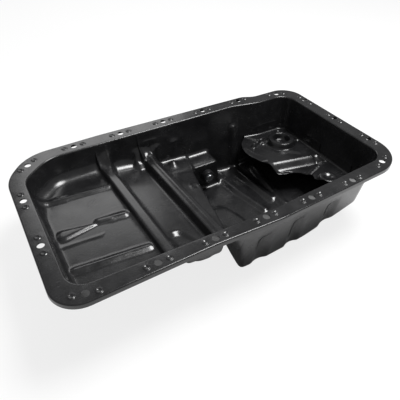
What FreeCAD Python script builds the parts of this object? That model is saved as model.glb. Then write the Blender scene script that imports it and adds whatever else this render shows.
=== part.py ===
"""Engine oil pan: a one-piece pressed steel sump pan with a bolting flange.

Millimetres, +Z up. X runs along the pan, from the shallow end (-X) to the
deep sump (+X). Y runs across it, with the drain plug at the back (+Y). The
origin is under the middle of the bolting flange, on the level of the sump's
underside, so the open side looks up and the flange's face is at pan_height.
"""
import FreeCAD
import Part
import math
import os

import Sketcher

doc = FreeCAD.newDocument("oil_pan")

# Driving sizes, in millimetres and degrees
SIZES = [
    ("half_length", 200.0, "middle of the flange to the end bolt columns"),
    ("half_width", 108.0, "middle of the flange to the long bolt rows"),
    ("pan_height", 96.0, "underside of the sump to the flange face"),
    ("sheet_wall", 1.5, "thickness of the pressed sheet"),
    ("wall_draft", 8.0, "lean of the pressed walls"),
    ("front_margin", 10.0, "front bolt row to the flange edge"),
    ("back_margin", 8.5, "back bolt row to the flange edge"),
    ("left_margin", 9.0, "left bolt column to the flange edge"),
    ("right_margin", 6.5, "right bolt column to the flange edge"),
    ("front_land", 20.0, "width of the front flange"),
    ("back_land", 19.0, "width of the back flange"),
    ("left_land", 17.5, "width of the left flange"),
    ("right_land", 18.5, "width of the right flange"),
    ("front_wave", 2.5, "how far the front edge swings in and out"),
    ("back_step", 8.5, "how far the back edge steps in at the deep end"),
    ("lip_drop", 4.0, "height of the turned-down edge"),
    ("edge_bend", 1.2, "cut on the bend of the turned-down edge"),
    ("rim_bend", 1.0, "cut on the bend between flange and wall"),
    ("swing_place", 16.5, "where the front edge swings out most, from the middle"),
    ("swell_place", -91.0, "where the back edge swells most, from the middle"),
    ("step_inset", 78.5, "end bolts to where the back edge starts to step in"),
    ("step_run", 18.0, "length of that step"),
    ("rim_step_inset", 101.5, "end bolts to where the back wall starts to step in"),
    ("rim_step_run", 39.5, "length of the back wall's step"),
    ("floor_bend", 4.0, "inside radius between the walls and the upper floors"),
    ("sump_bend", 5.0, "inside radius between the walls and the sump floor"),
    ("shallow_depth", 33.5, "flange face to the shallow floor"),
    ("middle_depth", 40.0, "flange face to the middle floor"),
    ("shelf_depth", 52.0, "flange face to the shelf beside the sump"),
    ("ridge_one_depth", 27.0, "flange face to the top of the first ridge"),
    ("ridge_two_depth", 31.0, "flange face to the top of the second ridge"),
    ("ridge_one_width", 11.5, "flat top of the first ridge"),
    ("ridge_two_width", 14.5, "flat top of the second ridge"),
    ("ridge_one_place", 93.0, "first ridge, from the middle of the pan"),
    ("ridge_two_place", 35.5, "second ridge, from the middle of the pan"),
    ("ridge_flank", 2.5, "run of a ridge's steep side"),
    ("shelf_flank", 8.0, "run of the second ridge's side above the shelf"),
    ("middle_fall", 4.0, "fall of the middle floor towards the deep end"),
    ("ridge_bend", 2.0, "inside radius along the ridges' tops"),
    ("ridge_skew", 2.1, "angle of the ridges off square"),
    ("sump_place", 0.0, "top of the sump's side, from the middle of the pan"),
    ("sump_lean", 18.0, "how far the sump's side leans out on its way down"),
    ("shelf_fall", 10.0, "fall of the shelf towards the sump"),
    ("sump_skew", 11.0, "angle of the sump's side off square"),
    ("floor_rise", 20.0, "rise of the sump floor towards the deep end"),
    ("knee_inset", 110.0, "end bolts to where the sump floor begins to rise"),
    ("knee_radius", 60.0, "radius where the sump floor begins to rise"),
    ("bolt_hole_radius", 3.75, "clearance hole for an M6 bolt"),
    ("front_pitch", 59.0, "spacing of the front bolts"),
    ("back_pitch", 60.0, "spacing of the back bolts"),
    ("left_pitch", 71.0, "spacing of the left bolts"),
    ("right_pitch", 59.5, "spacing of the right bolts"),
    ("corner_inset_left", 18.0, "left bolt column to the left corner holes"),
    ("corner_inset_right", 24.0, "right bolt column to the right corner holes"),
    ("corner_reach_left", 95.5, "middle of the flange to the back left corner hole"),
    ("corner_front_right", -99.4, "middle of the flange to the front right corner hole"),
    ("corner_reach_right", 197.4, "spacing of the right corner holes"),
    ("dimple_reach", 11.2, "bolt hole to the dimples beside it"),
    ("dimple_radius", 3.8, "foot of a dimple"),
    ("dimple_height", 0.8, "height of a dimple"),
    ("flute_radius", 23.0, "radius of a flute in the front wall"),
    ("flute_reach", 4.0, "depth of a flute in the front wall"),
    ("flute_top", 45.0, "flange face to the top of the flutes"),
    ("rib_radius", 7.5, "radius of the rib in the back wall"),
    ("rib_reach", 4.0, "how far the rib stands into the pan"),
    ("rib_top", 27.0, "flange face to the top of the rib"),
    ("rib_inset", 103.0, "end bolts to the rib"),
    ("bead_width", 9.0, "width of a bead pressed in the shallow floor"),
    ("bead_height", 3.0, "height of a bead pressed in the shallow floor"),
    ("bead_gap", 10.0, "gap between the beads' ends and the wall"),
    ("bead_front", -54.0, "front bead, from the middle of the pan"),
    ("bead_middle", 1.0, "middle beads, from the middle of the pan"),
    ("bead_back", 57.0, "back bead, from the middle of the pan"),
    ("pocket_end", 54.0, "far side of the drain pocket, from the middle"),
    ("pocket_reach", 35.5, "back wall's rim to the drain pocket's face"),
    ("pocket_height", 41.0, "height of the drain pocket"),
    ("plug_place", 36.0, "drain plug, from the middle of the pan"),
    ("plug_height", 23.0, "drain plug axis above the sump's underside"),
    ("plug_radius", 6.0, "M12 drain plug thread"),
    ("plug_head_across", 14.0, "drain plug head across its flats"),
    ("plug_head_length", 7.0, "length of the drain plug head"),
    ("plug_beyond", 2.5, "plug end past the weld nut"),
    ("thread_gap", 0.1, "gap between plug and nut"),
    ("nut_radius", 9.0, "round weld nut behind the drain pocket's face"),
    ("nut_length", 8.0, "length of the weld nut"),
    ("washer_wall", 1.5, "thickness of the sealing washer"),
    ("washer_radius", 10.0, "outside radius of the sealing washer"),
    ("baffle_wall", 1.2, "thickness of the baffle sheet"),
    ("baffle_depth", 48.0, "flange face to the baffle's upper side"),
    ("baffle_tab", 14.0, "height of the baffle's welding tabs"),
    ("weld_gap", 0.2, "gap between the baffle's tabs and the walls"),
    ("crown_inset", 49.0, "end bolts to the middle of the raised ring"),
    ("crown_across", 46.0, "raised ring, across the pan from the middle"),
    ("crown_radius", 21.5, "foot of the baffle's raised ring"),
    ("crown_height", 7.0, "height of the baffle's raised ring"),
    ("dish_radius", 12.0, "foot of the dish inside the raised ring"),
    ("dome_inset", 55.0, "end bolts to the middle of the baffle's dome"),
    ("dome_across", -57.0, "baffle's dome, across the pan from the middle"),
    ("dome_radius", 15.0, "foot of the baffle's dome"),
    ("dome_height", 9.0, "height of the baffle's dome"),
    ("channel_inset", 24.0, "end bolts to the point of the baffle's tapered channel"),
    ("channel_across", -12.0, "middle of the channel, across the pan"),
    ("channel_mouth", 22.0, "half width of the channel at its open end"),
    ("channel_depth", 8.0, "depth of the baffle's tapered channel"),
]


class Length:
    """A size: its value now, and the sheet expression that gives it."""

    def __init__(self, value, text):
        self.value = value
        self.text = text

    def __add__(self, other):
        other = as_length(other)
        return Length(self.value + other.value, f"({self.text} + {other.text})")

    def __sub__(self, other):
        other = as_length(other)
        return Length(self.value - other.value, f"({self.text} - {other.text})")

    def __radd__(self, other):
        return as_length(other) + self

    def __rsub__(self, other):
        return as_length(other) - self

    def __mul__(self, factor):
        return Length(self.value * factor, f"({self.text} * {factor})")

    def __neg__(self):
        return self * -1


def as_length(size):
    """Takes a plain number as a fixed length."""
    if isinstance(size, Length):
        return size
    return Length(float(size), repr(float(size)))


class Sizes:
    """The sheet's sizes by name."""


sheet = doc.addObject("Spreadsheet::Sheet", "Sizes")
S = Sizes()
for row, (name, value, meaning) in enumerate(SIZES, start=1):
    sheet.set(f"A{row}", str(value))
    sheet.setAlias(f"A{row}", name)
    sheet.set(f"B{row}", meaning)
doc.recompute()
for name, value, meaning in SIZES:
    setattr(S, name, Length(float(sheet.get(name)), f"Sizes.{name}"))


def bind(thing, field, size):
    """Binds one property of an object to a size."""
    thing.setExpression(field, as_length(size).text)


def lean(depth):
    """How far a wall leans in over a depth."""
    angle = math.radians(S.wall_draft.value)
    return Length(depth.value * math.tan(angle), f"({depth.text} * tan(Sizes.wall_draft * 1 deg))")


def origin_plane(body, role):
    """One of a body's own three origin planes."""
    return next(plane for plane in body.Origin.OriginFeatures if plane.Role == role)


def new_body(name):
    """An empty body with its label."""
    body = doc.addObject("PartDesign::Body", name)
    body.Label = name
    return body


def new_sketch(body, name, role="XY_Plane", height=0.0):
    """A sketch on an origin plane, moved along the plane's normal by height."""
    sketch = body.newObject("Sketcher::SketchObject", name)
    sketch.AttachmentSupport = (origin_plane(body, role), "")
    sketch.MapMode = "FlatFace"
    height = as_length(height)
    sketch.AttachmentOffset = FreeCAD.Placement(
        FreeCAD.Vector(0, 0, height.value), FreeCAD.Rotation())
    bind(sketch, ".AttachmentOffset.Base.z", height)
    return sketch


def fix_point(sketch, geometry, position, x_size, y_size):
    """Dimensions one point of a sketch from the sketch's origin."""
    for kind, size in (("DistanceX", x_size), ("DistanceY", y_size)):
        size = as_length(size)
        index = sketch.addConstraint(
            Sketcher.Constraint(kind, -1, 1, geometry, position, size.value))
        bind(sketch, f"Constraints[{index}]", size)


def rounded_outline(sketch, corners):
    """Draws a closed outline from corners (x, y, radius), sharp where radius is 0."""
    sizes = [[as_length(size) for size in corner] for corner in corners]
    places = [FreeCAD.Vector(x.value, y.value, 0) for x, y, radius in sizes]
    count = len(corners)
    starts, ends, arcs = list(places), list(places), {}
    for i, (x, y, radius) in enumerate(sizes):
        if radius.value == 0:
            continue
        before = (places[i - 1] - places[i]).normalize()
        after = (places[(i + 1) % count] - places[i]).normalize()
        half_turn = (math.pi - before.getAngle(after)) / 2
        reach = radius.value * math.tan(half_turn)
        starts[i] = places[i] + before * reach
        ends[i] = places[i] + after * reach
        middle = (before + after).normalize()
        centre = places[i] + middle * (radius.value / math.cos(half_turn))
        arcs[i] = Part.Arc(starts[i], centre - middle * radius.value, ends[i])
    lines = [sketch.addGeometry(Part.LineSegment(ends[i], starts[(i + 1) % count]))
             for i in range(count)]
    for i, (x, y, radius) in enumerate(sizes):
        if i not in arcs:
            sketch.addConstraint(Sketcher.Constraint("Coincident", lines[i - 1], 2, lines[i], 1))
            fix_point(sketch, lines[i], 1, x, y)
            continue
        curve = sketch.addGeometry(arcs[i])
        at_start = sketch.getPoint(curve, 1).distanceToPoint(starts[i]) < 1e-6
        near_end, far_end = (1, 2) if at_start else (2, 1)
        sketch.addConstraint(Sketcher.Constraint("Tangent", lines[i - 1], 2, curve, near_end))
        sketch.addConstraint(Sketcher.Constraint("Tangent", lines[i], 1, curve, far_end))
        index = sketch.addConstraint(Sketcher.Constraint("Radius", curve, radius.value))
        bind(sketch, f"Constraints[{index}]", radius)
        corner = sketch.addGeometry(Part.Point(places[i]), True)
        fix_point(sketch, corner, 1, x, y)
        sketch.addConstraint(Sketcher.Constraint("PointOnObject", corner, 1, lines[i - 1]))
        sketch.addConstraint(Sketcher.Constraint("PointOnObject", corner, 1, lines[i]))


def circles(sketch, centres, radius):
    """Draws circles of one radius at the centres (x, y)."""
    radius = as_length(radius)
    for x, y in centres:
        x, y = as_length(x), as_length(y)
        circle = sketch.addGeometry(Part.Circle(
            FreeCAD.Vector(x.value, y.value, 0), FreeCAD.Vector(0, 0, 1), radius.value))
        fix_point(sketch, circle, 3, x, y)
        index = sketch.addConstraint(Sketcher.Constraint("Radius", circle, radius.value))
        bind(sketch, f"Constraints[{index}]", radius)


def extrude(body, kind, name, sketch, length, reverse=False, taper=None, both=False):
    """A Pad or Pocket of a sketch."""
    feature = body.newObject(f"PartDesign::{kind}", name)
    feature.Profile = sketch
    length = as_length(length)
    feature.Length = length.value
    bind(feature, "Length", length)
    feature.Reversed = reverse
    feature.Midplane = both
    if taper is not None:
        feature.TaperAngle = taper.value
        bind(feature, "TaperAngle", taper)
    sketch.Visibility = False
    return feature


# Landmarks that the flange, the walls and the holes share
left_edge = -(S.half_length + S.left_margin)
right_edge = S.half_length + S.right_margin
front_edge = -(S.half_width + S.front_margin)
back_edge = S.half_width + S.back_margin
deep_back_edge = back_edge - S.back_step
pocket_face = back_edge - S.back_land - S.pocket_reach
step_place = S.half_length - S.step_inset
rim_step_place = S.half_length - S.rim_step_inset
floor_knee = S.half_length - S.knee_inset
rib_place = S.half_length - S.rib_inset
crown_place = S.half_length - S.crown_inset
dome_place = S.half_length - S.dome_inset
channel_end = S.half_length - S.channel_inset
# How far the tools that cut the forms reach past the pan
beyond = 60.0
below = -40.0


def flange_corners(inset=0.0):
    """The flange's outer edge, seen from above, moved inwards by inset."""
    inset = as_length(inset)
    left, right = left_edge + inset, right_edge - inset
    front, back, deep_back = front_edge + inset, back_edge - inset, deep_back_edge - inset
    return [
        (left, front, 28.0 - inset),
        (S.swing_place - 75.0, front + S.front_wave, 150.0),
        (S.swing_place, front - 0.5, 150.0),
        (right, front + S.front_wave * 3, 44.0 - inset),
        (right, deep_back, 29.0 - inset),
        (step_place + S.step_run, deep_back, 40.0),
        (step_place, back - 1.0, 40.0),
        (S.swell_place, back + 2.0, 300.0),
        (left + 29.0, back - 1.0, 50.0 - inset),
        (left, back - 39.0, 50.0 - inset),
    ]


def rim_corners(grow):
    """The edge where the flange turns down into the walls, moved outwards."""
    grow = as_length(grow)
    left = left_edge + S.left_land - grow
    right = right_edge - S.right_land + grow
    front = front_edge + S.front_land - grow
    back = back_edge - S.back_land + grow
    deep_back = deep_back_edge - S.back_land + grow
    return [
        (left, front, grow + 18.0),
        (S.swing_place, front - S.front_wave * 2, grow + 200.0),
        (right, front + S.front_wave * 2.2, grow + 22.0),
        (right, deep_back, grow + 20.0),
        (rim_step_place + S.rim_step_run, deep_back, 60.0 - grow),
        (rim_step_place, back, grow + 60.0),
        (left + 33.0, back, grow + 38.0),
        (left, back - 29.0, grow + 25.0),
    ]


# How far a ridge's flank and the sump's side move for each millimetre of sheet
FLANK_SHIFT = 0.77
SIDE_SHIFT = 0.9


def floor_corners(grow):
    """The section through both ridges: shallow floor, ridge, middle floor, ridge."""
    flank = grow * FLANK_SHIFT
    level = S.pan_height - grow
    shallow = level - S.shallow_depth
    middle = level - S.middle_depth
    ridge_one = level - S.ridge_one_depth
    ridge_two = level - S.ridge_two_depth
    shelf = level - S.shelf_depth
    one, two = -S.ridge_one_place, -S.ridge_two_place
    half_one = S.ridge_one_width * 0.5
    half_two = S.ridge_two_width * 0.5
    start = -S.half_length - beyond
    return [
        (start, shallow, 0),
        (one - half_one - S.ridge_flank + flank, shallow, 0),
        (one - half_one + flank, ridge_one, 0),
        (one + half_one - flank, ridge_one, 0),
        (one + half_one + S.ridge_flank * 2 - flank, middle + S.middle_fall * 0.5, 0),
        (two - half_two - S.ridge_flank + flank, middle - S.middle_fall * 0.5, 0),
        (two - half_two + flank, ridge_two, 0),
        (two + half_two - flank, ridge_two, 0),
        (two + half_two + S.shelf_flank - flank, shelf, 0),
        (two + half_two + S.shelf_flank * 6 - flank, below, 0),
        (start, below, 0),
    ]


def shelf_corners(grow):
    """The section through the shelf and the sump's side below it."""
    shelf = S.pan_height - grow - S.shelf_depth
    start = -S.ridge_two_place - S.ridge_two_width * 1.25
    side = S.sump_place - grow * SIDE_SHIFT
    return [
        (start, shelf + S.shelf_fall * 0.8, 0),
        (side, shelf - S.shelf_fall * 0.2, 0),
        (side + S.sump_lean, below, 0),
        (start, below, 0),
    ]


def sump_corners(grow):
    """The section along the sump's floor: level, then rising to the deep end."""
    bottom = S.sheet_wall - grow
    start, end = -S.half_length - beyond, S.half_length + beyond
    return [
        (start, bottom, 0),
        (floor_knee, bottom, S.knee_radius),
        (end, bottom + S.floor_rise * 2.2, 0),
        (end, below, 0),
        (start, below, 0),
    ]


def slope_beside(edge, face):
    """How level a face lies beside an edge: 1 is level, 0 upright."""
    middle = edge.valueAt((edge.FirstParameter + edge.LastParameter) / 2)
    u, v = face.Surface.parameter(middle)
    return abs(face.normalAt(u, v).z)


def floor_edges(shape, low, high):
    """Names the edges between low and high where a floor meets a wall."""
    names = []
    for number, edge in enumerate(shape.Edges, start=1):
        slopes = [slope_beside(edge, face) for face in shape.ancestorsOfType(edge, Part.Face)]
        if min(slopes) < 0.45 and max(slopes) > 0.9 and low < edge.CenterOfMass.z < high:
            names.append(f"Edge{number}")
    return names


def level_edges(shape, level):
    """Names the long edges across the pan at one height."""
    names = []
    for number, edge in enumerate(shape.Edges, start=1):
        box = edge.BoundBox
        if box.ZLength < 1e-3 and abs(box.ZMin - level) < 1e-3 and box.YLength > S.half_width.value:
            names.append(f"Edge{number}")
    return names


def fillet(body, name, base, edges, radius):
    """Rounds named edges of a feature."""
    rounding = body.newObject("PartDesign::Fillet", name)
    rounding.Base = (base, edges)
    rounding.Radius = radius.value
    bind(rounding, "Radius", radius)
    doc.recompute()
    return rounding


def chamfer(body, name, base, edges, size):
    """Cuts named edges of a feature back by size."""
    cut = body.newObject("PartDesign::Chamfer", name)
    cut.Base = (base, edges)
    cut.Size = size.value
    bind(cut, "Size", size)
    doc.recompute()
    return cut


def wall_space(name, grow):
    """A body as wide as the pan's inside, leaning in with the walls."""
    body = new_body(name)
    plan = new_sketch(body, name + "_plan", "XY_Plane", S.pan_height)
    rounded_outline(plan, rim_corners(grow))
    extrude(body, "Pad", name + "_walls", plan, S.pan_height + 15.0, reverse=True,
            taper=-S.wall_draft)
    return body


def cut_below(body, name, corners, skew):
    """Cuts away what lies under a floor's section, run across the pan at a skew."""
    section = new_sketch(body, name + "_section", "XZ_Plane")
    rounded_outline(section, corners)
    section.AttachmentOffset = FreeCAD.Placement(
        FreeCAD.Vector(), FreeCAD.Rotation(FreeCAD.Vector(0, 1, 0), skew.value))
    bind(section, ".AttachmentOffset.Rotation.Angle", skew)
    return extrude(body, "Pocket", name, section, S.half_width * 4, both=True)


def pressed_form(name, grow):
    """The space that the pressed walls and floor enclose, grown by grow."""
    grow = as_length(grow)
    body = wall_space(name, grow)
    cut_below(body, name + "_floors", floor_corners(grow), S.ridge_skew)
    cut_below(body, name + "_shelf", shelf_corners(grow), -S.sump_skew)
    floor = cut_below(body, name + "_sump", sump_corners(grow), as_length(0.0))
    doc.recompute()
    level = S.pan_height - grow
    ridges = [(level - depth).value for depth in (S.ridge_one_depth, S.ridge_two_depth)]
    for count, ridge in enumerate(ridges, start=1):
        floor = fillet(body, f"{name}_ridge_{count}", floor, level_edges(floor.Shape, ridge),
                       S.ridge_bend - grow * 0.5)
    bends = {
        "sump": (S.shelf_depth + 12.0, S.pan_height + 5.0, S.sump_bend),
        "middle": (S.middle_depth - 3.0, S.middle_depth + 3.0, S.floor_bend),
        "shallow": (S.shallow_depth - 1.0, S.shallow_depth + 1.0, S.floor_bend),
    }
    for place, (least, most, radius) in bends.items():
        edges = floor_edges(floor.Shape, (level - most).value, (level - least).value)
        if grow.value > 0:
            floor = chamfer(body, f"{name}_{place}_bend", floor, edges,
                            (radius + grow) * BEND_CUT)
        else:
            floor = fillet(body, f"{name}_{place}_bend", floor, edges, radius)
    press_pocket(body, name, grow)
    press_beads(body, name, grow)
    press_flutes(body, name, grow)
    return body


def press_pocket(body, name, grow):
    """The notch that the drain plug sits in, at the sump's back corner."""
    plan = new_sketch(body, name + "_pocket_plan", "XY_Plane", -10.0)
    left, right = -S.ridge_two_place, S.pocket_end - grow
    face, beyond = pocket_face + grow, S.half_width + 20.0
    rounded_outline(plan, [
        (left, face, 0), (right, face, 6.0 - grow), (right, beyond, 0), (left, beyond, 0)])
    extrude(body, "Pocket", name + "_pocket", plan, S.pocket_height - grow + 10.0, reverse=True)


def press_beads(body, name, grow):
    """The beads that stiffen the shallow floor, with sloping sides."""
    foot, slant = 2.0, 3.0
    plan = new_sketch(body, name + "_bead_plan", "XY_Plane",
                      S.pan_height - S.shallow_depth - grow - foot)
    start = left_edge + S.left_land + S.bead_gap
    end = -S.ridge_one_place - S.ridge_one_width * 0.5 - S.bead_gap * 0.6
    half = S.bead_width * 0.5 + foot - grow * 0.4
    for across, begin, finish in ((S.bead_front, start, end), (S.bead_back, start, end),
                                  (S.bead_middle, start, start + (end - start) * 0.48),
                                  (S.bead_middle, start + (end - start) * 0.57, end)):
        near, far = across + slant, across - slant
        rounded_outline(plan, [
            (begin, near, 0), (begin + half, near - half, 0), (finish - half, far - half, 0),
            (finish, far, 0), (finish - half, far + half, 0), (begin + half, near + half, 0)])
    beads = extrude(body, "Pocket", name + "_beads", plan, S.bead_height + foot, reverse=True)
    beads.TaperAngle = BEAD_SLOPE


def press_flutes(body, name, grow):
    """Upright grooves pressed inwards: three in the front wall, one in the back."""
    sheet_left = S.sheet_wall - grow
    front = front_edge + S.front_land - S.sheet_wall
    back = back_edge - S.back_land + S.sheet_wall
    begin = S.swing_place
    run = right_edge - S.right_land - begin
    centres = []
    for share in (0.0, 0.29, 0.61):
        centres.append((begin + run * share, S.front_wave * (4.2 * share - 2.0)
                        - S.flute_radius + S.flute_reach))
    tilted_grooves(body, name + "_flutes", front + lean(S.flute_top),
                   S.pan_height - S.flute_top + sheet_left, S.wall_draft,
                   centres, S.flute_radius + sheet_left)
    wall = back - S.back_step * 0.4 - lean(S.rib_top)
    tilted_grooves(body, name + "_rib", wall, S.pan_height - S.rib_top + sheet_left,
                   -S.wall_draft, [(rib_place, S.rib_radius - S.rib_reach)],
                   S.rib_radius + sheet_left)


def tilted_grooves(body, name, across, height, tilt, centres, radius):
    """Cuts round grooves that run down a leaning wall from one height."""
    plan = new_sketch(body, name + "_plan", "XY_Plane", height)
    across = as_length(across)
    plan.AttachmentOffset = FreeCAD.Placement(
        FreeCAD.Vector(0, across.value, as_length(height).value),
        FreeCAD.Rotation(FreeCAD.Vector(1, 0, 0), tilt.value))
    bind(plan, ".AttachmentOffset.Base.y", across)
    bind(plan, ".AttachmentOffset.Rotation.Angle", tilt)
    circles(plan, centres, radius)
    extrude(body, "Pocket", name, plan, S.pan_height * 1.5)


# The cut on the underside's bends, as a share of their radius
BEND_CUT = 0.58
# How the sides of the beads slope, in degrees
BEAD_SLOPE = -45.0
# Sides of a dimple
DIMPLE_SIDES = 8


# The bolt rows, each as its first hole, its step along X and Y, and its count
ROWS = {
    "front": (1.6 - S.front_pitch * 2, -S.half_width, S.front_pitch, 0.0, 5),
    "back": (-5.0 - S.back_pitch * 2, S.half_width, S.back_pitch, 0.0, 5),
    "left": (-S.half_length, -0.8 - S.left_pitch * 0.5, 0.0, S.left_pitch, 2),
    "right": (S.half_length, 2.4 - S.right_pitch, 0.0, S.right_pitch, 3),
    "left_corners": (-S.half_length + S.corner_inset_left, -S.half_width, 0.0,
                     S.half_width + S.corner_reach_left, 2),
    "right_corners": (S.half_length - S.corner_inset_right, S.corner_front_right, 0.0,
                      S.corner_reach_right, 2),
}
# Direction of the flange edge at each corner hole, in degrees
CORNER_TURNS = {"left_corners": (-15.0, 37.0), "right_corners": (22.0, -17.0)}


def bolt_holes():
    """Every bolt hole as (x, y, direction of the flange beside it)."""
    holes = []
    for row, (x, y, step_x, step_y, count) in ROWS.items():
        x, y = as_length(x), as_length(y)
        for i in range(count):
            turn = 0.0 if as_length(step_x).value else 90.0
            if row in CORNER_TURNS:
                turn = CORNER_TURNS[row][i]
            holes.append((x + step_x * i, y + step_y * i, turn))
    return holes


def dimples():
    """The two dimples beside each bolt hole, eight-sided because there are so many."""
    pips = []
    for x, y, turn in bolt_holes():
        along = math.radians(turn)
        for side in (-1, 1):
            pip = doc.addObject("Part::Prism", "dimple")
            pip.Polygon = DIMPLE_SIDES
            bind(pip, "Circumradius", S.dimple_radius)
            bind(pip, "Height", S.sheet_wall * 0.5 + S.dimple_height)
            bind(pip, "Placement.Base.x", x + S.dimple_reach * (side * math.cos(along)))
            bind(pip, "Placement.Base.y", y + S.dimple_reach * (side * math.sin(along)))
            bind(pip, "Placement.Base.z", S.pan_height - S.sheet_wall * 0.5)
            pips.append(pip)
    return pips


def plate_edges(shape, level, inside):
    """Names the edges of the flange's upper face: round the opening, or outside."""
    plate = max((face for face in shape.Faces if abs(face.CenterOfMass.z - level) < 1e-3),
                key=lambda face: face.Area)
    outer = plate.OuterWire
    chosen = outer.Edges
    if inside:
        chosen = max((wire for wire in plate.Wires if not wire.isSame(outer)),
                     key=lambda wire: wire.Length).Edges
    return [f"Edge{number}" for number, edge in enumerate(shape.Edges, start=1)
            if any(edge.isSame(other) for other in chosen)]


def make_shell():
    """The pan: flange, walls and floors pressed from one sheet."""
    flange = new_body("flange_form")
    plan = new_sketch(flange, "flange_plan", "XY_Plane", S.pan_height)
    rounded_outline(plan, flange_corners())
    extrude(flange, "Pad", "flange_plate", plan, S.sheet_wall, reverse=True)
    lip = new_sketch(flange, "lip_plan", "XY_Plane", S.pan_height - S.lip_drop - S.sheet_wall)
    rounded_outline(lip, flange_corners())
    rounded_outline(lip, flange_corners(S.sheet_wall))
    turned_down = extrude(flange, "Pad", "flange_lip", lip, S.lip_drop + S.sheet_wall)
    doc.recompute()
    level = S.pan_height.value
    chamfer(flange, "edge_bend", turned_down,
            plate_edges(turned_down.Shape, level, inside=False), S.edge_bend)
    outside = pressed_form("outside", S.sheet_wall)
    cavity = pressed_form("cavity", 0.0)
    solid = doc.addObject("Part::MultiFuse", "pan_solid")
    solid.Shapes = [flange, outside, *dimples()]
    pressed = doc.addObject("Part::Cut", "pan_pressed")
    pressed.Base, pressed.Tool = solid, cavity
    doc.recompute()

    body = new_body("pan_shell")
    body.BaseFeature = pressed
    doc.recompute()
    base = body.Group[0]
    chamfer(body, "rim_bend", base, plate_edges(base.Shape, level, inside=True), S.rim_bend)
    holes = new_sketch(body, "bolt_hole_plan", "XY_Plane", S.pan_height)
    circles(holes, [(x, y) for x, y, turn in bolt_holes()], S.bolt_hole_radius)
    extrude(body, "Pocket", "bolt_holes", holes, S.sheet_wall * 2)
    drain = new_sketch(body, "drain_hole_plan", "XZ_Plane", -pocket_face)
    circles(drain, [(S.plug_place, S.plug_height)], S.plug_radius + S.thread_gap)
    extrude(body, "Pocket", "drain_hole", drain, S.sheet_wall * 4, both=True)
    return body


def groove(body, name, place, across, profile):
    """Cuts a profile of (radius, height) points turned about an upright axis."""
    section = new_sketch(body, name + "_section", "XZ_Plane", across * -1)
    rounded_outline(section, [(place + radius, height, 0) for radius, height in profile])
    axis = section.addGeometry(Part.LineSegment(
        FreeCAD.Vector(place.value, 0, 0), FreeCAD.Vector(place.value, 10, 0)), True)
    fix_point(section, axis, 1, place, 0.0)
    fix_point(section, axis, 2, place, 10.0)
    turned = body.newObject("PartDesign::Groove", name)
    turned.Profile = section
    turned.ReferenceAxis = (section, ["Axis0"])
    turned.Angle = 360.0
    section.Visibility = False
    return turned


def tray_form(name, grow, floor_level):
    """The space inside the walls above the baffle, grown by grow."""
    body = wall_space(name, grow)
    wide = S.half_length + beyond
    for part, height, length, down in (
            ("below", floor_level, S.pan_height * 2, True),
            ("above", S.pan_height - S.baffle_depth + S.baffle_tab, S.pan_height, False)):
        plan = new_sketch(body, f"{name}_{part}_plan", "XY_Plane", height)
        rounded_outline(plan, [(-wide, -wide, 0), (wide, -wide, 0), (wide, wide, 0),
                               (-wide, wide, 0)])
        extrude(body, "Pocket", f"{name}_{part}", plan, length, reverse=not down)
    channel = new_sketch(body, name + "_channel_plan", "XY_Plane", floor_level)
    left = channel_end - 86.0
    rounded_outline(channel, [
        (left, S.channel_across - S.channel_mouth - grow, 0),
        (channel_end + grow * 3.0, S.channel_across, 0),
        (left, S.channel_across + S.channel_mouth + grow, 0)])
    sunk = extrude(body, "Pad", name + "_channel", channel, S.channel_depth, reverse=True)
    sunk.TaperAngle = BEAD_SLOPE
    foot, top = floor_level - 5.0, floor_level + S.crown_height
    groove(body, name + "_crown", crown_place, S.crown_across, [
        (S.crown_radius - grow, foot), (S.crown_radius - grow, top),
        (S.dish_radius + grow, top), (S.dish_radius + grow, foot)])
    top = floor_level + S.dome_height
    groove(body, name + "_dome", dome_place, S.dome_across, [
        (as_length(0.0), foot), (S.dome_radius - grow, foot),
        (S.dome_radius - grow, floor_level + S.dome_height * 0.4),
        (S.dome_radius * 0.5 - grow, top), (as_length(0.0), top)])
    return body


def make_baffle():
    """The baffle: a pressed sheet with welding tabs up the sump's walls."""
    top = S.pan_height - S.baffle_depth
    lower = tray_form("baffle_lower", S.weld_gap * -1, top - S.baffle_wall)
    upper = tray_form("baffle_upper", -S.weld_gap - S.baffle_wall, top)
    pressed = doc.addObject("Part::Cut", "baffle_pressed")
    pressed.Base, pressed.Tool = lower, upper
    doc.recompute()
    body = new_body("sump_baffle")
    body.BaseFeature = pressed
    far = S.half_length + beyond
    back = S.half_width - S.back_land
    edge = new_sketch(body, "free_edge_plan", "XY_Plane", S.pan_height)
    rounded_outline(edge, [
        (-far, -far, 0), (crown_place - 13.0, -far, 0), (crown_place - 13.0, -59.0, 12.0),
        (crown_place - 15.0, -20.0, 5.0), (crown_place - 42.0, -8.0, 8.0),
        (crown_place - 50.0, 20.0, 30.0), (crown_place - 57.0, 56.0, 30.0),
        (crown_place - 38.0, back, 0), (crown_place - 38.0, far, 0), (-far, far, 0)])
    extrude(body, "Pocket", "free_edge", edge, S.pan_height * 2)
    tabs = new_sketch(body, "tab_plan", "XY_Plane", top + 2.0)
    right, front = S.half_length, -S.half_width
    for corners in (
            [(crown_place + 22.0, 20.0, 0), (far, 20.0, 0), (far, far, 0),
             (crown_place + 22.0, far, 0)],
            [(crown_place - 90.0, -far, 0), (crown_place - 15.0, -far, 0),
             (crown_place - 15.0, far, 0), (crown_place - 90.0, far, 0)],
            [(crown_place + 20.0, -far, 0), (far, -far, 0), (far, -58.0, 0),
             (crown_place + 20.0, -58.0, 0)],
            [(crown_place + 20.0, -33.0, 0), (far, -33.0, 0), (far, 0.0, 0),
             (crown_place + 20.0, 0.0, 0)]):
        rounded_outline(tabs, corners)
    extrude(body, "Pocket", "tab_gaps", tabs, S.pan_height, reverse=True)
    return body


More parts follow.
